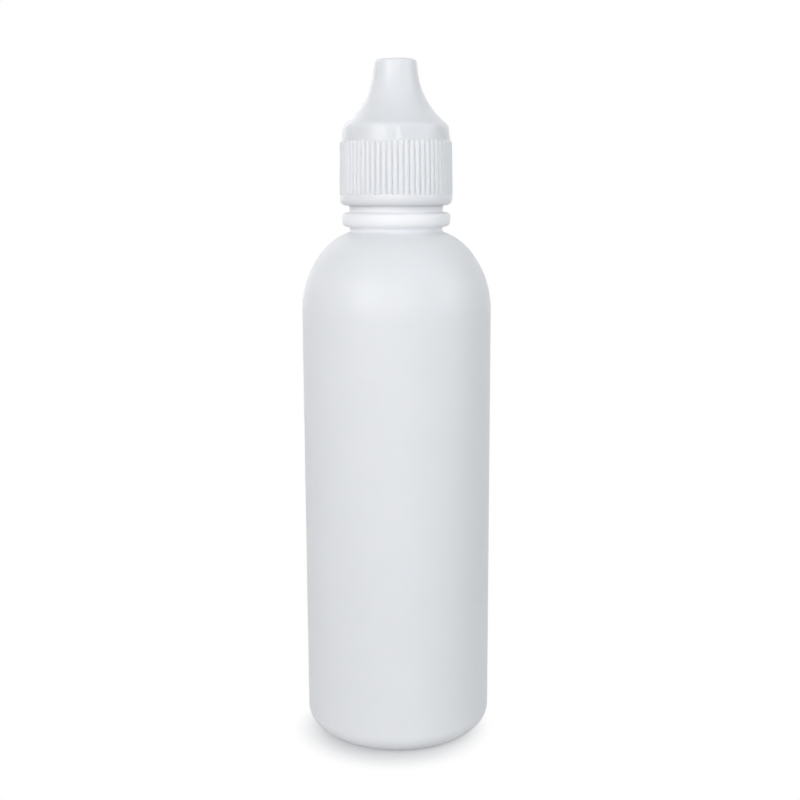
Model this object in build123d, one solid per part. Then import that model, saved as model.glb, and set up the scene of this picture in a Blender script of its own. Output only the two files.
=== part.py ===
from build123d import *

# A squeeze dropper bottle in three pieces: a blow-moulded bottle, the dropper insert that is pressed
# into its neck, and a ribbed screw cap with a long nose. Sizes are in millimetres. Z is the bottle's
# axis and points up, and the origin is the middle of the circle that the bottle stands on.

import os
from math import acos, cos, degrees, pi, radians, sin, sqrt, tan

# Bottle body
body_radius = 20.0
body_wall = 1.0
body_wall_top = 91.9
heel_radius = 4.2
foot_ring_width = 1.5
base_wall = 1.3
push_up = 1.8

# Pinch-off seam that the mould leaves under the base
seam_length = 22.0
seam_width = 0.7
seam_height = 0.35

# Shoulder: a large arc tangent to the wall, then a tighter one up to the neck
shoulder_radius = 20.6
shoulder_turn = 36.7
shoulder_top_radius = 12.0

# Neck: a groove, the bead, a land and the threaded finish up to the rim
neck_radius = 9.7
groove_height = 1.07
bead_projection = 1.58
bead_height = 3.1
bead_slope = 24.0
bead_top_fillet = 1.0
bead_bottom_fillet = 0.7
land_step = 0.1
land_height = 2.0
finish_height = 13.8
bore_radius = 7.4
finish_wall = 1.6
rim_chamfer = 0.3

# Screw thread of the neck, and the cap's thread that pulls up under it
thread_lead = 3.175
thread_turns = 1.5
thread_depth = 0.95
thread_root_width = 1.7
thread_crest_width = 0.8
thread_rim_gap = 1.15
thread_sink = 0.25
thread_play = 0.3
thread_flank_gap = 0.12
cap_thread_turns = 1.3
cap_thread_lead_in = 0.3
cap_thread_crest_width = 0.7

# Dropper insert: a flange on the rim, a ringed plug in the bore and a nozzle
flange_inset = 0.2
flange_thickness = 1.2
flange_chamfer = 0.25
plug_length = 9.0
plug_wall = 1.1
plug_clearance = 0.05
plug_relief = 0.25
plug_ring_count = 2
plug_ring_height = 1.0
plug_lead_in = 0.6
nozzle_height = 14.2
nozzle_base_radius = 6.3
nozzle_tip_radius = 2.0
nozzle_tip_length = 6.2
nozzle_draft = 3.0
nozzle_wall = 1.0
nozzle_lip_chamfer = 0.4
orifice_radius = 0.75
orifice_length = 3.5
orifice_taper = 0.8

# Screw cap: lip, ribbed skirt, smooth band, hollow-curved top and nose
cap_gap = 1.3
cap_skirt_wall = 1.0
lip_slope = 26.0
lip_fillet = 1.9
lip_height = 2.0
lip_step = 0.03
rib_count = 62
rib_height = 0.43
rib_start = 1.9
rib_length = 11.1
rib_crest_width = 0.45
rib_tip = 0.8
rib_draft = 0.6
rib_phase = -0.8
band_height = 2.8
band_draft = 7.5
nose_base_radius = 4.6
nose_length = 2.9
nose_draft = 7.0
nose_fillet = 0.9
nose_top_wall = 1.3
nose_wall = 1.25
tip_clearance = 0.6
seal_gap = 0.05
seal_ring_inset = 0.1
seal_ring_width = 1.1
pin_clearance = 0.1
pin_reach = 1.0
pin_chamfer = 0.2

# Centres of the two shoulder arcs
shoulder_centre = (body_radius - shoulder_radius, body_wall_top)
shoulder_step = shoulder_radius - shoulder_top_radius
shoulder_top_centre = (
    shoulder_centre[0] + shoulder_step * cos(radians(shoulder_turn)),
    shoulder_centre[1] + shoulder_step * sin(radians(shoulder_turn)),
)


def shoulder_height(radius, wall=0.0):
    """Height at which the upper shoulder arc, set in by a wall, reaches a radius."""
    across = radius - shoulder_top_centre[0]
    return shoulder_top_centre[1] + sqrt((shoulder_top_radius - wall) ** 2 - across**2)


# Heights that follow from the sizes, from the shoulder up
neck_foot = shoulder_height(neck_radius)
bead_bottom = neck_foot + groove_height
bead_top = bead_bottom + bead_height
rim = bead_top + finish_height
seat = rim + flange_thickness
nozzle_top = seat + nozzle_height
cap_bottom = bead_top + cap_gap
rib_bottom = cap_bottom + rib_start
band_bottom = rib_bottom + rib_length
band_top = band_bottom + band_height
cavity_top = nozzle_top + tip_clearance
cap_top = cavity_top + nose_top_wall
nose_base = cap_top - nose_length

# Radii that follow from the sizes, from the bore out
plug_radius = bore_radius - plug_clearance
plug_bore_radius = plug_radius - plug_relief - plug_wall
root_radius = bore_radius + finish_wall
crest_radius = root_radius + thread_depth
land_radius = crest_radius - land_step
bead_radius = neck_radius + bead_projection
flange_radius = root_radius - flange_inset
cap_crest_radius = root_radius + thread_play
cap_bore_radius = crest_radius + thread_play
cap_core_radius = cap_bore_radius + cap_skirt_wall
rib_crest_radius = cap_core_radius + rib_height
lip_radius = rib_crest_radius + lip_step
band_top_radius = cap_core_radius - band_height * tan(radians(band_draft))
seal_ring_radius = flange_radius - seal_ring_inset
pin_radius = orifice_radius - pin_clearance

# Where the threads run: the cap's lies under the neck's, one flank gap away
thread_flank = (thread_root_width - thread_crest_width) / 2 / thread_depth
thread_start = rim - thread_rim_gap - thread_root_width / 2 - thread_turns * thread_lead
thread_drop = (
    (thread_crest_width + cap_thread_crest_width) / 2
    + thread_flank * (crest_radius - cap_crest_radius)
    + thread_flank_gap
)


def turned(section):
    """Solid of revolution about Z from a half section drawn as (radius, height)."""
    return revolve(Plane.XZ * section, Axis.Z)


def outline(*points):
    """Face inside a closed polygon."""
    return make_face(Polyline(*points, close=True))


def ring(inner, outer, low, high):
    """Half section of a hollow cylinder."""
    return outline((inner, low), (outer, low), (outer, high), (inner, high))


def corner(face, point):
    """The vertex of a face nearest to a point."""
    return face.vertices().sort_by_distance((*point, 0))[0]


def dome_radius(half_width, rise):
    """Radius of an arc whose crown stands a rise above points half_width away."""
    return (half_width**2 + rise**2) / (2 * rise)


def hollow_arc(top, bottom, draft_angle):
    """Centre and radius of the arc that leaves its top at a draft angle and flares to its bottom."""
    normal = Vector(cos(radians(draft_angle)), sin(radians(draft_angle)))
    chord = Vector(*top) - Vector(*bottom)
    radius = -chord.dot(chord) / (2 * chord.dot(normal))
    return Vector(*top) + normal * radius, radius


def arc_height(centre, radius, across):
    """Height of the lower side of an arc at a distance from the axis."""
    return centre.Y - sqrt(radius**2 - (centre.X - across) ** 2)


def body_section(wall, floor, foot_ring, top_radius):
    """Half section of the body from its domed base to the neck, set in by a wall and a floor."""
    heel_centre = (body_radius - heel_radius, heel_radius)
    dome_edge = heel_centre[0] - foot_ring
    crown = (0, push_up + floor)
    top_angle = degrees(acos((top_radius - shoulder_top_centre[0]) / (shoulder_top_radius - wall)))
    top_height = shoulder_height(top_radius, wall)
    outer_heel = CenterArc(heel_centre, heel_radius, 270, 90)
    inner_heel = Line((heel_centre[0], wall), (body_radius - wall, heel_radius))
    edges = [
        RadiusArc(crown, (dome_edge, wall), dome_radius(dome_edge, push_up + floor - wall)),
        inner_heel if wall else outer_heel,
        Line((body_radius - wall, heel_radius), (body_radius - wall, body_wall_top)),
        CenterArc(shoulder_centre, shoulder_radius - wall, 0, shoulder_turn),
        CenterArc(shoulder_top_centre, shoulder_top_radius - wall, shoulder_turn, top_angle - shoulder_turn),
        Line((top_radius, top_height), (0, top_height)),
        Line((0, top_height), crown),
    ]
    if foot_ring:
        edges.append(Line((dome_edge, wall), (heel_centre[0], wall)))
    return make_face(edges)


def bead_section():
    """Half section of the neck bead, sloped below and rounded more above than below."""
    slope_top = bead_bottom + bead_projection * tan(radians(bead_slope))
    bead = outline(
        (0, bead_bottom),
        (neck_radius, bead_bottom),
        (bead_radius, slope_top),
        (bead_radius, bead_top),
        (0, bead_top),
    )
    bead = fillet(corner(bead, (bead_radius, bead_top)), bead_top_fillet)
    return fillet(corner(bead, (bead_radius, slope_top)), bead_bottom_fillet)


def thread_half(wall_radius, top_radius, crest_width):
    """Upper half of a thread's section, from a foot sunk in its wall to its crest."""
    sink = thread_sink if wall_radius > top_radius else -thread_sink
    foot_radius = wall_radius + sink
    foot_width = crest_width / 2 + thread_flank * abs(foot_radius - top_radius)
    return outline((foot_radius, 0), (foot_radius, foot_width), (top_radius, crest_width / 2), (top_radius, 0))


def thread(half_section, turns, start_height, start_turn):
    """Right-hand thread that climbs from its start, with a rounded end at each end."""
    half = Plane.XZ * half_section
    path = Helix(thread_lead, thread_lead * turns, root_radius)
    run = sweep(half + mirror(half, Plane.XY), path=path, is_frenet=True)
    near_end = revolve(half, Axis.X, 180)
    far_end = Pos(0, 0, thread_lead * turns) * Rot(0, 0, 360 * turns) * revolve(half, Axis.X, -180)
    return Pos(0, 0, start_height) * Rot(0, 0, 360 * start_turn) * (run + near_end + far_end)


def pinch_off_seam():
    """Thin ridge across the base's dome, along the mould's parting line."""
    radius = dome_radius(body_radius - heel_radius - foot_ring_width, push_up)
    layer = Sphere(radius + base_wall / 2) - Sphere(radius - seam_height)
    blade = Pos(0, 0, push_up) * Box(seam_length, seam_width, 2 * push_up)
    return blade & Pos(0, 0, push_up - radius) * layer


def make_bottle():
    """Body, shoulder and neck as one blown shell, with its thread and base seam."""
    finish = ring(0, root_radius, bead_top, rim)
    finish = chamfer(corner(finish, (root_radius, rim)), rim_chamfer)
    land = ring(0, land_radius, bead_top, bead_top + land_height)
    stem = ring(0, neck_radius, neck_foot, bead_bottom)
    outside = body_section(0, 0, foot_ring_width, neck_radius) + stem + bead_section() + land + finish
    cavity = body_section(body_wall, base_wall, 0, bore_radius)
    bore = ring(0, bore_radius, shoulder_height(bore_radius, body_wall), rim)
    neck_thread = thread(
        thread_half(root_radius, crest_radius, thread_crest_width), thread_turns, thread_start, 0
    )
    return turned(outside - cavity - bore) + neck_thread + pinch_off_seam()


def plug_section():
    """Half section of the solid plug with its sealing rings and its lead-in."""
    sleeve_radius = plug_radius - plug_relief
    plug = ring(0, sleeve_radius, rim - plug_length, rim)
    plug = chamfer(corner(plug, (sleeve_radius, rim - plug_length)), plug_lead_in)
    spacing = plug_length / (plug_ring_count + 1)
    for number in range(1, plug_ring_count + 1):
        middle = rim - number * spacing
        plug += outline(
            (0, middle - plug_ring_height / 2),
            (sleeve_radius, middle - plug_ring_height / 2),
            (plug_radius, middle - plug_ring_height / 4),
            (plug_radius, middle + plug_ring_height / 4),
            (sleeve_radius, middle + plug_ring_height / 2),
            (0, middle + plug_ring_height / 2),
        )
    return plug


def nozzle_radius(height):
    """Outer radius of the nozzle's straight tip at a height."""
    return nozzle_tip_radius + (nozzle_top - height) * tan(radians(nozzle_draft))


def make_dropper_insert():
    """Flange, ringed plug and nozzle, with one channel from the plug to the orifice."""
    tip_base = nozzle_top - nozzle_tip_length
    shoulder = (nozzle_radius(tip_base), tip_base)
    foot = (nozzle_base_radius, seat)
    centre, radius = hollow_arc(shoulder, foot, nozzle_draft)
    nozzle = make_face(
        [
            Line((0, nozzle_top), (nozzle_tip_radius, nozzle_top)),
            Line((nozzle_tip_radius, nozzle_top), shoulder),
            RadiusArc(shoulder, foot, -radius),
            Line(foot, (0, seat)),
            Line((0, seat), (0, nozzle_top)),
        ]
    )
    nozzle = chamfer(corner(nozzle, (nozzle_tip_radius, nozzle_top)), nozzle_lip_chamfer)
    flange = ring(0, flange_radius, rim, seat)
    flange = chamfer(corner(flange, (flange_radius, seat)), flange_chamfer)

    orifice_bottom = nozzle_top - orifice_length
    taper_bottom = orifice_bottom - orifice_taper
    inner_shoulder = (shoulder[0] - nozzle_wall, tip_base)
    inner_foot = (plug_bore_radius, arc_height(centre, radius + nozzle_wall, plug_bore_radius))
    plug_bottom = rim - plug_length
    channel = make_face(
        [
            Polyline(
                inner_shoulder,
                (nozzle_radius(taper_bottom) - nozzle_wall, taper_bottom),
                (orifice_radius, orifice_bottom),
                (orifice_radius, nozzle_top),
                (0, nozzle_top),
                (0, plug_bottom),
                (plug_bore_radius, plug_bottom),
                inner_foot,
            ),
            RadiusArc(inner_shoulder, inner_foot, -(radius + nozzle_wall)),
        ]
    )
    return turned(plug_section() + flange + nozzle - channel)


def cap_rib():
    """One rib of the skirt: narrow at its crest, one pitch wide at its foot, drafted and sloped at its top."""
    half_pitch = cap_core_radius * sin(pi / rib_count)
    half_crest = rib_crest_width / 2
    root = cap_core_radius - cap_skirt_wall / 2
    tip_bottom = rib_bottom + rib_length - rib_tip
    tip_radius = rib_crest_radius - (rib_length - rib_tip) * tan(radians(rib_draft))
    side = outline(
        (root, rib_bottom),
        (rib_crest_radius, rib_bottom),
        (tip_radius, tip_bottom),
        (cap_core_radius * cos(pi / rib_count), band_bottom),
        (root, band_bottom),
    )
    plan = outline(
        (root, -half_pitch),
        (cap_core_radius, -half_pitch),
        (rib_crest_radius, -half_crest),
        (rib_crest_radius, half_crest),
        (cap_core_radius, half_pitch),
        (root, half_pitch),
    )
    return extrude(Plane.XZ * side, half_pitch, both=True) & extrude(Pos(0, 0, rib_bottom) * plan, rib_length)


def cap_outside():
    """Half section of the cap before its ribs and its hollow."""
    slope_top = cap_bottom + (lip_radius - cap_bore_radius) * tan(radians(lip_slope))
    lip_top = cap_bottom + lip_height
    skirt = outline(
        (0, cap_bottom),
        (cap_bore_radius, cap_bottom),
        (lip_radius, slope_top),
        (lip_radius, lip_top),
        (cap_core_radius, lip_top),
        (cap_core_radius, band_bottom),
        (band_top_radius, band_top),
        (0, band_top),
    )
    skirt = fillet(corner(skirt, (lip_radius, slope_top)), lip_fillet)
    nose_top_radius = nose_base_radius - nose_length * tan(radians(nose_draft))
    nose_foot = (nose_base_radius, nose_base)
    flare_foot = (band_top_radius, band_top)
    radius = hollow_arc(nose_foot, flare_foot, nose_draft)[1]
    top = make_face(
        [
            Line((0, cap_top), (nose_top_radius, cap_top)),
            Line((nose_top_radius, cap_top), nose_foot),
            RadiusArc(nose_foot, flare_foot, -radius),
            Line(flare_foot, (0, band_top)),
            Line((0, band_top), (0, cap_top)),
        ]
    )
    return skirt + fillet(corner(top, (nose_top_radius, cap_top)), nose_fillet)


def cap_hollow():
    """Half section of the cap's hollow, around its seal ring and its sealing pin."""
    centre, radius = hollow_arc((nose_base_radius, nose_base), (band_top_radius, band_top), nose_draft)
    inner_radius = radius + nose_wall
    top_radius = nose_base_radius - nose_wall - (cavity_top - nose_base) * tan(radians(nose_draft))
    arc_top = (centre.X - sqrt(inner_radius**2 - (centre.Y - nose_base) ** 2), nose_base)
    arc_foot = (cap_bore_radius, arc_height(centre, inner_radius, cap_bore_radius))
    hollow = make_face(
        [
            Polyline(
                arc_top,
                (top_radius, cavity_top),
                (0, cavity_top),
                (0, cap_bottom),
                (cap_bore_radius, cap_bottom),
                arc_foot,
            ),
            RadiusArc(arc_top, arc_foot, -inner_radius),
        ]
    )
    seal_ring = ring(seal_ring_radius - seal_ring_width, seal_ring_radius, seat + seal_gap, cap_top)
    pin = ring(0, pin_radius, nozzle_top - pin_reach, cap_top)
    pin = chamfer(corner(pin, (pin_radius, nozzle_top - pin_reach)), pin_chamfer)
    return hollow - seal_ring - pin


def make_cap():
    """Ribbed shell with its seal ring, its sealing pin and the thread that takes the neck's."""
    rib = cap_rib()
    ribs = [Rot(0, 0, rib_phase - 90 + 360 * number / rib_count) * rib for number in range(rib_count)]
    shell = turned(cap_outside()) + ribs - turned(cap_hollow())
    cap_thread = thread(
        thread_half(cap_bore_radius, cap_crest_radius, cap_thread_crest_width),
        cap_thread_turns,
        thread_start - thread_drop - cap_thread_lead_in * thread_lead,
        -cap_thread_lead_in,
    )
    return shell + cap_thread


os.makedirs("parts", exist_ok=True)
export_step(make_bottle(), "parts/bottle.step")
export_step(make_dropper_insert(), "parts/dropper_insert.step")
export_step(make_cap(), "parts/cap.step")
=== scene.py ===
# The look of a squeeze dropper bottle: a blow-moulded bottle, a dropper insert and a ribbed screw cap.
# Lengths in the shape code are millimetres in the model's own frame, and meshes are written in metres.

from math import acos, cos, degrees, pi, radians, sin, sqrt, tan

import bmesh
import bpy
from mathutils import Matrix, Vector


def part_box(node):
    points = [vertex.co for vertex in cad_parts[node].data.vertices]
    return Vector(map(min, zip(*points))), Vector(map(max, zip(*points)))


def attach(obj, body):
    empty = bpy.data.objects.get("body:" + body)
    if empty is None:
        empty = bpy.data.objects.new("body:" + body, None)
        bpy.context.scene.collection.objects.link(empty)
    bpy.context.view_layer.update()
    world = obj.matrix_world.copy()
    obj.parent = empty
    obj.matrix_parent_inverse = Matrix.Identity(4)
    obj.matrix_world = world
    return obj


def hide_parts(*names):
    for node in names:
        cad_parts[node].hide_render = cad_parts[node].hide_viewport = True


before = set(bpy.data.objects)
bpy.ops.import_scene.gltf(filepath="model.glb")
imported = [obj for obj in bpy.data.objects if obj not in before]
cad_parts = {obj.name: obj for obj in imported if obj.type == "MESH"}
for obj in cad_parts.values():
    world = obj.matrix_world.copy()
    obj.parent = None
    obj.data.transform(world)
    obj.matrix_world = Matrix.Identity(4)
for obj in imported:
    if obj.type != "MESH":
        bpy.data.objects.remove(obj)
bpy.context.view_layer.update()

MM = 0.001

# Sizes of the bottle
body_radius = 20.0
body_wall = 1.0
body_wall_top = 92.02
heel_radius = 4.2
foot_ring_width = 1.5
base_wall = 1.3
push_up = 1.8
inner_dome_inset = 0.01
seam_length = 22.0
seam_width = 0.7
seam_height = 0.35
seam_sink = 0.05
seam_end_power = 8
shoulder_radius = 19.8
shoulder_turn = 38.0
shoulder_top_radius = 12.7
neck_radius = 9.7
groove_height = 0.92
bead_projection = 1.68
bead_height = 3.12
bead_slope = 11.0
land_step = 0.1
land_height = 2.0
bore_radius = 7.4
finish_wall = 1.6

# How far each of the bottle's corners is rounded off
foot_ring_ease = 0.4
neck_foot_ease = 0.45
groove_top_ease = 0.3
bead_ease = 1.1
land_ease = 0.2
rim_ease = 0.3
bore_ease = 0.2

# Sizes of the threads
thread_lead = 3.175
thread_turns = 1.5
thread_depth = 0.95
thread_root_width = 1.7
thread_crest_width = 0.8
thread_crest_ease = 0.16
thread_rim_gap = 1.15
thread_sink = 0.25
thread_play = 0.3
thread_flank_gap = 0.12
cap_thread_turns = 1.3
cap_thread_lead_in = 0.3
cap_thread_crest_width = 0.7

# Sizes of the dropper insert
flange_inset = 0.2
flange_thickness = 1.2
plug_length = 9.0
plug_wall = 1.1
plug_clearance = 0.05
plug_relief = 0.25
plug_ring_count = 2
plug_ring_height = 1.0
plug_lead_in = 0.6
nozzle_base_radius = 6.3
nozzle_tip_radius = 2.0
nozzle_tip_length = 6.2
nozzle_draft = 3.0
nozzle_wall = 1.0
orifice_radius = 0.75
orifice_length = 3.5
orifice_taper = 0.8

# How far each of the insert's corners is rounded off
flange_top_ease = 0.25
flange_bottom_ease = 0.1
nozzle_foot_ease = 0.35
nozzle_tip_ease = 0.4
orifice_ease = 0.1

# Sizes of the cap
cap_skirt_wall = 1.11
lip_slope = 10.0
lip_drop = 0.13
lip_height = 2.0
lip_step = 0.03
band_height = 3.2
band_draft = 6.9
nose_base_radius = 4.55
nose_length = 2.4
nose_drop = 0.3
nose_draft = 5.9
nose_top_wall = 1.3
nose_wall = 1.25
seal_gap = 0.05
seal_ring_inset = 0.1
seal_ring_width = 1.1
pin_clearance = 0.1
pin_reach = 1.0

# Sizes of the cap's ribs and of the grooves between them
rib_count = 62
rib_height = 0.45
rib_length = 11.1
rib_overlap = 0.1
rib_draft = 0.95
rib_draft_start = 5.0
rib_foot_inset = 0.35
rib_foot_squash = 1.1
rib_top_inset = 0.45
rib_phase = -0.8
groove_drop = 0.03
groove_end = 0.5
front_angle = -90.0

# How far each of the cap's corners is rounded off
pin_tip_ease = 0.2
pin_root_ease = 0.3
hollow_top_ease = 0.5
lip_inside_ease = 0.12
lip_outside_ease = 1.3
band_top_ease = 0.7
nose_top_ease = 0.75

# Rows of points up the cap's skirt, counted first from the lip's top and then from the band's foot
lip_rows = (-0.06, 0.0, 0.06)
groove_row_spacing = 0.1
groove_row_count = 10
rib_rows = (1.2, 2.4, 4.0, 6.0, 8.0)
rib_end_row_start = -0.95
rib_end_row_spacing = 0.08
rib_end_row_count = 16
band_rows = (0.45, 1.0, 1.6)

# Fineness of the meshes
bottle_segments = 224
insert_segments = 160
segments_per_rib = 12
thread_steps_per_turn = 96
thread_end_steps = 12
seam_steps = 40
seam_sides = 12
crease_angle = 35.0
weld_distance = 0.0001
on_axis = 0.000001
same_place = 0.00001
support_distances = (0.12, 0.5, 2.0)
support_room = 3

# What the three plastics share
scatter_depth = 0.003
scatter_spread = (1.0, 0.95, 0.9)
plastic_ior = 1.5
coat_roughness = 0.15
darker_tone = 0.985
roughness_span = (0.9, 1.12)
parting_line_height = 0.03
parting_line_reach = (0.05, 0.16)

# Noise in the plastics: features in a metre, then layers of detail
tone_noise = (90, 3)
gloss_noise = (260, 4)
grain_noise = (2600, 5)
wave_noise = (70, 2)
wave_stretch = (1, 1, 0.35)
noise_span = (0.3, 0.7)

# Floor and world, in metres
white = (1.0, 1.0, 1.0)
floor_reach = 4.0
floor_colour = (0.55, 0.55, 0.55)
floor_lift = (0.23, 0.24, 0.25)
# Painted shadow: the floor shows its shading only within this reach of this point, a little forward and
# left of the base, and is white beyond it
painted_shadow_centre = (-0.0012, -0.0045, 0.0)
painted_shadow_reach = (0.0125, 0.0225)
room_colour = (0.34, 0.357, 0.369)

# Lamps: name, azimuth and elevation in degrees, distance, width and height in metres, power in watts,
# and the colour where it isn't white
aim_point = Vector((0, 0, 0.075))
lamps = [
    ("key", 5, 19, 0.9, 0.08, 0.08, 0.55),
    ("front_left", -35, 20, 0.9, 0.45, 0.6, 3.6),
    ("front_low", 0, 3, 1.2, 1.0, 0.3, 2.6),
    ("right", 70, 10, 0.9, 0.5, 0.9, 2.95, (0.98, 1.0, 1.01)),
    ("back_left", -150, 15, 0.9, 0.5, 0.9, 1.4),
    ("back_right", 150, 15, 0.9, 0.5, 0.9, 0.5),
]

# Camera at the photograph's viewpoint: place in metres, angles in degrees
camera_lens = 54.09
camera_sensor_width = 36.0
camera_shift = 0.0038
camera_place = (0.0, -0.2554, 0.1171)
camera_dip = 9.91
camera_roll = -0.24

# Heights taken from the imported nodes
cap_bottom, cap_top = (corner.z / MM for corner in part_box("cap"))
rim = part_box("bottle")[1].z / MM
nozzle_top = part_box("dropper_insert")[1].z / MM

# Heights that follow
seat = rim + flange_thickness
cavity_top = cap_top - nose_top_wall
nose_base = cap_top - nose_length
nose_top = cap_top - nose_drop
lip_top = cap_bottom + lip_height
rib_bottom = lip_top - rib_overlap
groove_foot = lip_top - groove_drop
band_bottom = rib_bottom + rib_length
band_top = band_bottom + band_height

# Radii that follow
base_edge_radius = body_radius - heel_radius - foot_ring_width
root_radius = bore_radius + finish_wall
crest_radius = root_radius + thread_depth
land_radius = crest_radius - land_step
bead_radius = neck_radius + bead_projection
plug_radius = bore_radius - plug_clearance
plug_bore_radius = plug_radius - plug_relief - plug_wall
flange_radius = root_radius - flange_inset
cap_crest_radius = root_radius + thread_play
cap_bore_radius = crest_radius + thread_play
cap_core_radius = cap_bore_radius + cap_skirt_wall
rib_crest_radius = cap_core_radius + rib_height
lip_radius = rib_crest_radius + lip_step
band_top_radius = cap_core_radius - band_height * tan(radians(band_draft))
seal_ring_radius = flange_radius - seal_ring_inset
pin_radius = orifice_radius - pin_clearance

# Places of the threads: the cap's thread lies under the neck's, a flank gap away
thread_flank = (thread_root_width - thread_crest_width) / 2 / thread_depth
thread_start = rim - thread_rim_gap - thread_root_width / 2 - thread_turns * thread_lead
cap_thread_drop = (
    (thread_crest_width + cap_thread_crest_width) / 2
    + thread_flank * (crest_radius - cap_crest_radius)
    + thread_flank_gap
)
cap_thread_start = thread_start - cap_thread_drop - cap_thread_lead_in * thread_lead

# Centres of the heel's arc and of the two shoulder arcs
heel_centre = (body_radius - heel_radius, heel_radius)
shoulder_centre = Vector((body_radius - shoulder_radius, body_wall_top))
shoulder_top_centre = shoulder_centre + (shoulder_radius - shoulder_top_radius) * Vector(
    (cos(radians(shoulder_turn)), sin(radians(shoulder_turn)))
)


def vectors(points):
    """The points of an outline as vectors."""
    return [Vector(point) for point in points]


def arc(centre, radius, start, end, steps):
    """Points on an arc, from one angle to another in degrees."""
    angles = [radians(start + (end - start) * step / steps) for step in range(steps + 1)]
    return [Vector((centre[0] + radius * cos(a), centre[1] + radius * sin(a))) for a in angles]


def dome_radius(half_width, rise):
    """Radius of an arc whose crown stands a rise above points half_width away."""
    return (half_width**2 + rise**2) / (2 * rise)


def dome(edge_radius, edge_height, crown_height, steps):
    """Points of a shallow dome, from its crown on the axis to its edge."""
    radius = dome_radius(edge_radius, crown_height - edge_height)
    reach = [edge_radius * step / steps for step in range(steps + 1)]
    return [Vector((r, crown_height - radius + sqrt(radius**2 - r**2))) for r in reach]


def hollow_arc(top, bottom, draft):
    """Centre and radius of the arc that leaves its top at a draft angle and flares to its bottom."""
    normal = Vector((cos(radians(draft)), sin(radians(draft))))
    chord = Vector(top) - Vector(bottom)
    radius = -chord.dot(chord) / (2 * chord.dot(normal))
    return Vector(top) + normal * radius, radius


def flare(centre, radius, high, low, steps):
    """Points down a hollow arc, between two distances from the axis."""
    start = degrees(acos((centre.x - high) / radius))
    end = degrees(acos((centre.x - low) / radius))
    return arc(centre, radius, 180 + start, 180 + end, steps)


def soften(path, place, reach, steps=7):
    """Path with the corner nearest to a place rounded off over a reach on each side."""
    place = Vector(place)
    middle = min(range(len(path)), key=lambda i: (path[i] - place).length)
    ends = []
    for step in (-1, 1):
        left, at = reach, middle
        while (path[at + step] - path[at]).length < left:
            left -= (path[at + step] - path[at]).length
            at += step
        way = (path[at + step] - path[at]).normalized()
        ends.append((path[at] + way * left, at + step))
    (start, before), (end, after) = ends
    corner = path[middle]
    curve = []
    for step in range(steps + 1):
        t = step / steps
        curve.append(start * (1 - t) ** 2 + corner * (2 * t * (1 - t)) + end * t**2)
    return path[: before + 1] + curve + path[after:]


def supported(path, closed=False):
    """Path with extra points near the ends of its long straights, so that shading stays flat on them."""
    following = path[1:] + path[:1] if closed else path[1:]
    result = []
    for start, end in zip(path, following):
        length = (end - start).length
        if length < same_place:
            continue
        near = [distance for distance in support_distances if length > support_room * distance]
        result.append(start)
        result += [start.lerp(end, distance / length) for distance in near]
        result += [start.lerp(end, 1 - distance / length) for distance in reversed(near)]
    if not closed:
        result.append(path[-1])
    return result


def mesh_object(name, points, faces):
    """Smooth-shaded object from points in millimetres, with creases kept sharp."""
    mesh = bpy.data.meshes.new(name)
    mesh.from_pydata([tuple(c * MM for c in p) for p in points], [], faces)
    shape = bmesh.new()
    shape.from_mesh(mesh)
    bmesh.ops.remove_doubles(shape, verts=shape.verts, dist=weld_distance * MM)
    bmesh.ops.recalc_face_normals(shape, faces=shape.faces)
    for edge in shape.edges:
        edge.smooth = len(edge.link_faces) == 2 and edge.calc_face_angle() < radians(crease_angle)
    for face in shape.faces:
        face.smooth = True
    shape.to_mesh(mesh)
    shape.free()
    thing = bpy.data.objects.new(name, mesh)
    bpy.context.scene.collection.objects.link(thing)
    return thing


def lathe(name, path, segments, closed=False, phase=0.0, relief=None):
    """Solid turned about Z from a path of (radius, height) points, closed or with both ends on the axis."""
    points, rings, faces = [], [], []
    for radius, height in path:
        if radius < on_axis:
            rings.append([len(points)] * segments)
            points.append((0.0, 0.0, height))
            continue
        rings.append(list(range(len(points), len(points) + segments)))
        for number in range(segments):
            turn = number / segments
            angle = radians(phase) + 2 * pi * turn
            reach = relief(radius, height, turn) if relief else radius
            points.append((reach * cos(angle), reach * sin(angle), height))
    pairs = list(zip(rings, rings[1:]))
    if closed:
        pairs.append((rings[-1], rings[0]))
    for lower, upper in pairs:
        for a in range(segments):
            b = (a + 1) % segments
            corners = [lower[a], lower[b], upper[b], upper[a]]
            faces.append(list(dict.fromkeys(corners)))
    return mesh_object(name, points, faces)


def thread(name, wall_radius, top_radius, crest_width, turns, start_height, start_turn):
    """Right-hand thread with a softened crest and a rounded end at each end."""
    sink = thread_sink if wall_radius > top_radius else -thread_sink
    foot_radius = wall_radius + sink
    foot_half = crest_width / 2 + thread_flank * abs(foot_radius - top_radius)
    crest = (top_radius, crest_width / 2)
    half = vectors([(foot_radius, 0), (foot_radius, foot_half), crest, (top_radius, 0)])
    half = soften(half, crest, thread_crest_ease, steps=4)
    section = half + [Vector((p.x, -p.y)) for p in reversed(half[1:-1])]

    def placed(across, along, rise, turn):
        angle = 2 * pi * (start_turn + turn)
        height = start_height + turn * thread_lead + rise
        return (
            across * cos(angle) - along * sin(angle),
            across * sin(angle) + along * cos(angle),
            height,
        )

    points, faces = [], []

    def patch(rows, wrap):
        first = len(points)
        count = len(rows[0])
        for row in rows:
            points.extend(row)
        for row in range(len(rows) - 1):
            for a in range(count if wrap else count - 1):
                b = (a + 1) % count
                low = first + row * count
                faces.append([low + a, low + b, low + count + b, low + count + a])

    total = int(thread_steps_per_turn * turns)
    run = []
    for step in range(total + 1):
        turn = turns * step / total
        run.append([placed(p.x, 0, p.y, turn) for p in section])
    patch(run, True)
    for turn, side in ((0, -1), (turns, 1)):
        end = []
        for step in range(thread_end_steps + 1):
            spin = pi * step / thread_end_steps
            end.append([placed(p.x, side * p.y * sin(spin), p.y * cos(spin), turn) for p in half])
        patch(end, False)
    return mesh_object(name, points, faces)


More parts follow.
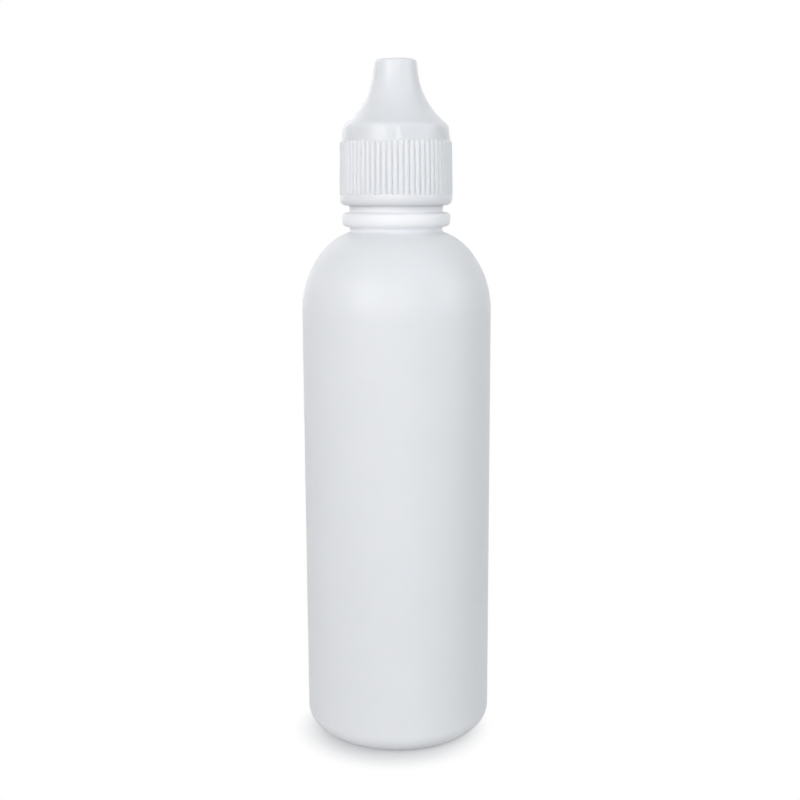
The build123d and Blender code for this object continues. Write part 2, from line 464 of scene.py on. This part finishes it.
def body_arcs(wall, top_radius):
    """Points of the shoulder's two arcs, set in by a wall, up to a radius near the neck."""
    top_reach = shoulder_top_radius - wall
    top_angle = degrees(acos((top_radius - shoulder_top_centre.x) / top_reach))
    lower = arc(shoulder_centre, shoulder_radius - wall, 0, shoulder_turn, steps=26)
    upper = arc(shoulder_top_centre, top_reach, shoulder_turn, top_angle, steps=22)
    return lower + upper[1:]


def bottle_path():
    """Outline of the bottle, from the middle of its base up the outside and back down the inside."""
    outside = dome(base_edge_radius, 0, push_up, steps=24)
    outside += arc(heel_centre, heel_radius, 270, 360, steps=20)
    outside += body_arcs(0, neck_radius)
    neck_foot = outside[-1].y
    bead_bottom = neck_foot + groove_height
    bead_top = bead_bottom + bead_height
    slope_top = bead_bottom + bead_projection * tan(radians(bead_slope))
    land_top = bead_top + land_height
    neck = [
        (neck_radius, bead_bottom),
        (bead_radius, slope_top),
        (bead_radius, bead_top),
        (land_radius, bead_top),
        (land_radius, land_top),
        (root_radius, land_top),
        (root_radius, rim),
        (bore_radius, rim),
    ]
    inside = dome(heel_centre[0] - inner_dome_inset, body_wall, push_up + base_wall, steps=12)
    inside += arc(heel_centre, heel_radius - body_wall, 270, 360, steps=10)
    inside += body_arcs(body_wall, bore_radius)
    path = outside + vectors(neck) + inside[::-1]
    path = soften(path, (base_edge_radius, 0), foot_ring_ease)
    path = soften(path, (neck_radius, neck_foot), neck_foot_ease)
    path = soften(path, (neck_radius, bead_bottom), groove_top_ease)
    path = soften(path, (bead_radius, slope_top), bead_ease, steps=12)
    path = soften(path, (bead_radius, bead_top), bead_ease, steps=12)
    path = soften(path, (land_radius, bead_top), land_ease)
    path = soften(path, (land_radius, land_top), land_ease)
    path = soften(path, (root_radius, rim), rim_ease)
    path = soften(path, (bore_radius, rim), bore_ease)
    return supported(path)


def base_seam():
    """Low rounded ridge across the base's dome, where the mould pinched the plastic off."""
    radius = dome_radius(base_edge_radius, push_up)
    points, faces = [], []
    for step in range(seam_steps + 1):
        along = seam_length * (step / seam_steps - 0.5)
        ease = sqrt(max(0.0, 1 - (2 * step / seam_steps - 1) ** seam_end_power))
        middle = push_up - radius + sqrt(radius**2 - along**2) + seam_sink
        for number in range(seam_sides):
            angle = 2 * pi * number / seam_sides
            across = seam_width / 2 * ease * cos(angle)
            points.append((along, across, middle + (seam_height + seam_sink) * ease * sin(angle)))
    for step in range(seam_steps):
        low = step * seam_sides
        high = low + seam_sides
        for number in range(seam_sides):
            following = (number + 1) % seam_sides
            faces.append([low + number, low + following, high + following, high + number])
    return mesh_object("base_seam", points, faces)


def make_bottle():
    """Blown shell with the neck's thread and the pinch-off seam under its base."""
    shell = lathe("bottle_shell", bottle_path(), bottle_segments)
    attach(shell, "bottle")
    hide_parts("bottle")
    neck_thread = thread(
        "neck_thread",
        root_radius,
        crest_radius,
        thread_crest_width,
        thread_turns,
        thread_start,
        start_turn=0,
    )
    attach(neck_thread, "bottle")
    seam = base_seam()
    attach(seam, "bottle")
    return [shell, neck_thread, seam]


def nozzle_radius(height):
    """Outer radius of the nozzle's straight tip at a height."""
    return nozzle_tip_radius + (nozzle_top - height) * tan(radians(nozzle_draft))


def insert_path():
    """Closed outline of the dropper insert, up its outside and down its channel."""
    sleeve = plug_radius - plug_relief
    plug_bottom = rim - plug_length
    plug = [
        (plug_bore_radius, plug_bottom),
        (sleeve - plug_lead_in, plug_bottom),
        (sleeve, plug_bottom + plug_lead_in),
    ]
    spacing = plug_length / (plug_ring_count + 1)
    for number in range(plug_ring_count, 0, -1):
        middle = rim - number * spacing
        plug += [
            (sleeve, middle - plug_ring_height / 2),
            (plug_radius, middle - plug_ring_height / 4),
            (plug_radius, middle + plug_ring_height / 4),
            (sleeve, middle + plug_ring_height / 2),
        ]
    flange = [(sleeve, rim), (flange_radius, rim), (flange_radius, seat)]
    orifice_bottom = nozzle_top - orifice_length
    taper_bottom = orifice_bottom - orifice_taper
    tip = [
        (nozzle_tip_radius, nozzle_top),
        (orifice_radius, nozzle_top),
        (orifice_radius, orifice_bottom),
        (nozzle_radius(taper_bottom) - nozzle_wall, taper_bottom),
    ]
    tip_base = nozzle_top - nozzle_tip_length
    waist = nozzle_radius(tip_base)
    centre, radius = hollow_arc((waist, tip_base), (nozzle_base_radius, seat), nozzle_draft)
    path = vectors(plug + flange)
    path += reversed(flare(centre, radius, waist, nozzle_base_radius, steps=24))
    path += vectors(tip)
    path += flare(centre, radius + nozzle_wall, waist - nozzle_wall, plug_bore_radius, steps=20)
    path = soften(path, (flange_radius, seat), flange_top_ease)
    path = soften(path, (flange_radius, rim), flange_bottom_ease)
    path = soften(path, (nozzle_base_radius, seat), nozzle_foot_ease)
    path = soften(path, (nozzle_tip_radius, nozzle_top), nozzle_tip_ease)
    path = soften(path, (orifice_radius, nozzle_top), orifice_ease)
    return supported(path, closed=True)


def make_insert():
    """Plug, flange and nozzle in one turned piece."""
    insert = lathe("drip_insert", insert_path(), insert_segments, closed=True)
    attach(insert, "dropper_insert")
    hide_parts("dropper_insert")
    return [insert]


def cap_path():
    """Outline of the cap, from its sealing pin down the hollow, round the lip and up the outside."""
    draft = tan(radians(nose_draft))
    centre, radius = hollow_arc((nose_base_radius, nose_base), (band_top_radius, band_top), nose_draft)
    inner = radius + nose_wall
    hollow_top_radius = nose_base_radius - nose_wall - (cavity_top - nose_base) * draft
    inner_arc_top_radius = centre.x - sqrt(inner**2 - (centre.y - nose_base) ** 2)
    seal_inner = seal_ring_radius - seal_ring_width
    seal_bottom = seat + seal_gap
    pin_bottom = nozzle_top - pin_reach
    lip_bottom = cap_bottom - lip_drop
    slope_top = lip_bottom + (lip_radius - cap_bore_radius) * tan(radians(lip_slope))
    nose_top_radius = nose_base_radius - (nose_top - nose_base) * draft
    pin = [
        (0, pin_bottom),
        (pin_radius, pin_bottom),
        (pin_radius, cavity_top),
        (hollow_top_radius, cavity_top),
    ]
    lip = [(cap_bore_radius, lip_bottom), (lip_radius, slope_top), (lip_radius, rib_bottom)]
    path = vectors(pin)
    path += flare(centre, inner, inner_arc_top_radius, seal_inner, steps=24)
    path += vectors([(seal_inner, seal_bottom), (seal_ring_radius, seal_bottom)])
    path += flare(centre, inner, seal_ring_radius, cap_bore_radius, steps=6)
    path += vectors(lip)
    path += skirt_path()
    path += reversed(flare(centre, radius, nose_base_radius, band_top_radius, steps=40))
    path += vectors([(nose_top_radius, nose_top), (0, nose_top)])
    path = soften(path, (pin_radius, pin_bottom), pin_tip_ease)
    path = soften(path, (pin_radius, cavity_top), pin_root_ease)
    path = soften(path, (hollow_top_radius, cavity_top), hollow_top_ease)
    path = soften(path, (cap_bore_radius, lip_bottom), lip_inside_ease)
    path = soften(path, (lip_radius, slope_top), lip_outside_ease, steps=14)
    path = soften(path, (band_top_radius, band_top), band_top_ease)
    path = soften(path, (nose_top_radius, nose_top), nose_top_ease, steps=12)
    return supported(path)


def skirt_path():
    """Rows up the ribbed skirt and the band: close together at the rib ends, far apart between."""
    groove_rows = [groove_row_spacing * step for step in range(1, groove_row_count + 1)]
    rib_end_rows = [rib_end_row_start + rib_end_row_spacing * step for step in range(rib_end_row_count)]
    heights = [lip_top + rise for rise in (*lip_rows, *groove_rows, *rib_rows)]
    heights += [band_bottom + rise for rise in (*rib_end_rows, *band_rows)]
    return [Vector((skirt_radius(height), height)) for height in heights]


def skirt_radius(height):
    """Radius of the skirt under its ribs, and of the drafted band above them."""
    if height < groove_foot:
        return lip_radius
    rise = min(1.0, (height - groove_foot) / groove_end)
    lip_blend = (lip_radius - cap_core_radius) * (1 - rise * rise * (3 - 2 * rise))
    return cap_core_radius + lip_blend - max(0.0, height - band_bottom) * tan(radians(band_draft))


def ribbed(radius, height, turn):
    """Radius of the cap's outside with its ribs, which are round bars with rounded ends."""
    if radius < cap_core_radius - cap_skirt_wall / 2:
        return radius
    pitch = 2 * pi * cap_core_radius / rib_count
    across = abs((turn * rib_count + 0.5) % 1 - 0.5) * pitch
    bar = dome_radius(pitch / 2, rib_height)
    drafted = max(0.0, height - cap_bottom - rib_draft_start)
    crest = rib_crest_radius - drafted * tan(radians(rib_draft))
    past_top = height - (band_bottom - rib_top_inset)
    past_foot = (lip_top + rib_foot_inset - height) * rib_foot_squash
    off = sqrt(across**2 + max(0.0, past_top, past_foot) ** 2)
    if off >= bar:
        return radius
    return max(radius, crest - bar + sqrt(bar**2 - off**2))


def make_cap():
    """Ribbed shell with its seal ring and pin, and the thread inside it."""
    segments = rib_count * segments_per_rib
    shell = lathe("cap_shell", cap_path(), segments, phase=front_angle + rib_phase, relief=ribbed)
    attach(shell, "cap")
    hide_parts("cap")
    inner_thread = thread(
        "cap_thread",
        cap_bore_radius,
        cap_crest_radius,
        cap_thread_crest_width,
        cap_thread_turns,
        cap_thread_start,
        start_turn=-cap_thread_lead_in,
    )
    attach(inner_thread, "cap")
    return [shell, inner_thread]


def maths(tree, operation, *values):
    """Result of a Math node whose values are sockets or numbers."""
    node = tree.nodes.new("ShaderNodeMath")
    node.operation = operation
    for socket, value in zip(node.inputs, values):
        if isinstance(value, bpy.types.NodeSocket):
            tree.links.new(value, socket)
        else:
            socket.default_value = value
    return node.outputs["Value"]


def map_range(tree, value, source, target, smooth=False):
    """Value moved from one span to another and held at its ends."""
    node = tree.nodes.new("ShaderNodeMapRange")
    if smooth:
        node.interpolation_type = "SMOOTHSTEP"
    for name, number in zip(("From Min", "From Max", "To Min", "To Max"), (*source, *target)):
        node.inputs[name].default_value = number
    tree.links.new(value, node.inputs["Value"])
    return node.outputs["Result"]


def noise(tree, place, scale, detail, stretch=(1, 1, 1)):
    """Noise that is fixed to the object, stretched along its axes."""
    mapping = tree.nodes.new("ShaderNodeMapping")
    mapping.inputs["Scale"].default_value = stretch
    texture = tree.nodes.new("ShaderNodeTexNoise")
    texture.inputs["Scale"].default_value = scale
    texture.inputs["Detail"].default_value = detail
    tree.links.new(place, mapping.inputs["Vector"])
    tree.links.new(mapping.outputs["Vector"], texture.inputs["Vector"])
    return texture.outputs["Fac"]


def parting_ridge(tree, place):
    """Height of the hairline ridge where the two halves of the mould met, at each side."""
    split = tree.nodes.new("ShaderNodeSeparateXYZ")
    tree.links.new(place, split.inputs["Vector"])
    off_plane = maths(tree, "ABSOLUTE", split.outputs["Y"])
    reach = [distance * MM for distance in parting_line_reach]
    return map_range(tree, off_plane, reach, (parting_line_height, 0), smooth=True)


def plastic(name, colour, roughness, scatter, coat, grain, waves, parting_line):
    """Moulded plastic with a fine grain, slow waves in its wall, and small changes of tone and gloss."""
    material = bpy.data.materials.new(name)
    material.use_nodes = True
    tree = material.node_tree
    shader = tree.nodes["Principled BSDF"]
    shader.inputs["Subsurface Weight"].default_value = scatter
    shader.inputs["Subsurface Radius"].default_value = scatter_spread
    shader.inputs["Subsurface Scale"].default_value = scatter_depth
    shader.inputs["IOR"].default_value = plastic_ior
    shader.inputs["Coat Weight"].default_value = coat
    shader.inputs["Coat Roughness"].default_value = coat_roughness
    place = tree.nodes.new("ShaderNodeTexCoord").outputs["Object"]

    tone = tree.nodes.new("ShaderNodeMix")
    tone.data_type = "RGBA"
    tone.inputs["A"].default_value = (*[c * darker_tone for c in colour], 1)
    tone.inputs["B"].default_value = (*colour, 1)
    cloud = map_range(tree, noise(tree, place, *tone_noise), noise_span, (0, 1))
    tree.links.new(cloud, tone.inputs["Factor"])
    tree.links.new(tone.outputs["Result"], shader.inputs["Base Color"])

    duller = [roughness * share for share in roughness_span]
    gloss = map_range(tree, noise(tree, place, *gloss_noise), noise_span, duller)
    tree.links.new(gloss, shader.inputs["Roughness"])

    fine = noise(tree, place, *grain_noise)
    slow = map_range(tree, noise(tree, place, *wave_noise, wave_stretch), noise_span, (0, waves))
    height = maths(tree, "MULTIPLY_ADD", fine, grain, slow)
    if parting_line:
        height = maths(tree, "ADD", height, parting_ridge(tree, place))
    bump = tree.nodes.new("ShaderNodeBump")
    bump.inputs["Strength"].default_value = 1.0
    bump.inputs["Distance"].default_value = MM
    tree.links.new(height, bump.inputs["Height"])
    tree.links.new(bump.outputs["Normal"], shader.inputs["Normal"])
    return material


def coloured(tree, kind, colour):
    """New shader node of a kind, with one colour all over."""
    node = tree.nodes.new(kind)
    node.inputs["Color"].default_value = (*colour, 1)
    return node


def mixed(tree, share, first, second):
    """Shader that goes from the first to the second as the share goes from 0 to 1."""
    mix = tree.nodes.new("ShaderNodeMixShader")
    for socket, source in zip(mix.inputs, (share, first, second)):
        tree.links.new(source, socket)
    return mix.outputs["Shader"]


def rays_that_see_white(tree):
    """Socket that is 1 for camera, glossy and transmission rays, which see the white background."""
    path = tree.nodes.new("ShaderNodeLightPath")
    seen = path.outputs["Is Camera Ray"]
    for kind in ("Is Glossy Ray", "Is Transmission Ray"):
        seen = maths(tree, "MAXIMUM", seen, path.outputs[kind])
    return seen


def floor_material():
    """Matte, lifted floor that shows the lamps' shading near the bottle and turns white further out; the
    fade that bounds this darker pool is painted shadow.
    """
    material = bpy.data.materials.new("floor")
    material.use_nodes = True
    tree = material.node_tree
    tree.nodes.clear()
    output = tree.nodes.new("ShaderNodeOutputMaterial")
    seen = rays_that_see_white(tree)
    matte = coloured(tree, "ShaderNodeBsdfDiffuse", floor_colour)
    lift = coloured(tree, "ShaderNodeEmission", floor_lift)
    tree.links.new(seen, lift.inputs["Strength"])
    near = tree.nodes.new("ShaderNodeAddShader")
    tree.links.new(matte.outputs[0], near.inputs[0])
    tree.links.new(lift.outputs[0], near.inputs[1])
    place = tree.nodes.new("ShaderNodeTexCoord")
    distance = tree.nodes.new("ShaderNodeVectorMath")
    distance.operation = "DISTANCE"
    tree.links.new(place.outputs["Object"], distance.inputs[0])
    distance.inputs[1].default_value = painted_shadow_centre
    # Painted shadow: this fade sets where the darker floor ends and where its middle sits; the lamps do not
    # cast that edge
    painted_shadow_fade = map_range(tree, distance.outputs["Value"], painted_shadow_reach, (0, 1), smooth=True)
    glow = coloured(tree, "ShaderNodeEmission", white)
    far = maths(tree, "MULTIPLY", painted_shadow_fade, seen)
    surface = mixed(tree, far, near.outputs[0], glow.outputs[0])
    tree.links.new(surface, output.inputs["Surface"])
    return material


def make_floor():
    """Flat square that the bottle stands on."""
    mesh = bpy.data.meshes.new("floor")
    sides = ((-1, -1), (1, -1), (1, 1), (-1, 1))
    mesh.from_pydata([(x * floor_reach, y * floor_reach, 0) for x, y in sides], [], [(0, 1, 2, 3)])
    floor = bpy.data.objects.new("floor", mesh)
    bpy.context.scene.collection.objects.link(floor)
    floor.data.materials.append(floor_material())


def make_world():
    """Pale room that lights the bottle softly, and a white background for the rays that see one."""
    world = bpy.data.worlds.new("studio")
    bpy.context.scene.world = world
    world.use_nodes = True
    tree = world.node_tree
    tree.nodes.clear()
    output = tree.nodes.new("ShaderNodeOutputWorld")
    room = coloured(tree, "ShaderNodeBackground", room_colour)
    background = coloured(tree, "ShaderNodeBackground", white)
    surface = mixed(tree, rays_that_see_white(tree), room.outputs[0], background.outputs[0])
    tree.links.new(surface, output.inputs["Surface"])


def softbox(name, azimuth, elevation, distance, width, height, power, colour=white):
    """Rectangular lamp aimed at the bottle, its azimuth counted from the camera's side towards +X."""
    lamp = bpy.data.lights.new(name, "AREA")
    lamp.shape = "RECTANGLE"
    lamp.size = width
    lamp.size_y = height
    lamp.energy = power
    lamp.color = colour
    thing = bpy.data.objects.new(name, lamp)
    bpy.context.scene.collection.objects.link(thing)
    turn, lift = radians(azimuth), radians(elevation)
    away = Vector((sin(turn) * cos(lift), -cos(turn) * cos(lift), sin(lift)))
    thing.location = aim_point + away * distance
    thing.rotation_euler = away.to_track_quat("Z", "Y").to_euler()


def make_camera():
    """Camera that looks down a little at the bottle, from the photograph's viewpoint."""
    camera = bpy.data.cameras.new("camera")
    camera.lens = camera_lens
    camera.sensor_width = camera_sensor_width
    camera.shift_x = camera_shift
    eye = bpy.data.objects.new("camera", camera)
    bpy.context.scene.collection.objects.link(eye)
    eye.location = camera_place
    eye.rotation_mode = "ZXY"
    eye.rotation_euler = (radians(90 - camera_dip), 0, radians(camera_roll))
    bpy.context.scene.camera = eye


# Stage and lamps
make_floor()
make_world()
for lamp in lamps:
    softbox(*lamp)

# Materials
bottle_plastic = plastic(
    "satin_polyethylene",
    colour=(0.868, 0.872, 0.894),
    roughness=0.48,
    scatter=0.6,
    coat=0.05,
    grain=0.004,
    waves=0.05,
    parting_line=True,
)
insert_plastic = plastic(
    "moulded_polyethylene",
    colour=(0.845, 0.85, 0.87),
    roughness=0.38,
    scatter=0.6,
    coat=0.1,
    grain=0.003,
    waves=0.0,
    parting_line=False,
)
cap_plastic = plastic(
    "moulded_polypropylene",
    colour=(0.805, 0.81, 0.835),
    roughness=0.38,
    scatter=0.7,
    coat=0.2,
    grain=0.003,
    waves=0.0,
    parting_line=False,
)

# Pieces
for pieces, material in (
    (make_bottle(), bottle_plastic),
    (make_insert(), insert_plastic),
    (make_cap(), cap_plastic),
):
    for piece in pieces:
        piece.data.materials.append(material)

# Camera and view
make_camera()
bpy.context.scene.view_settings.view_transform = "Standard"
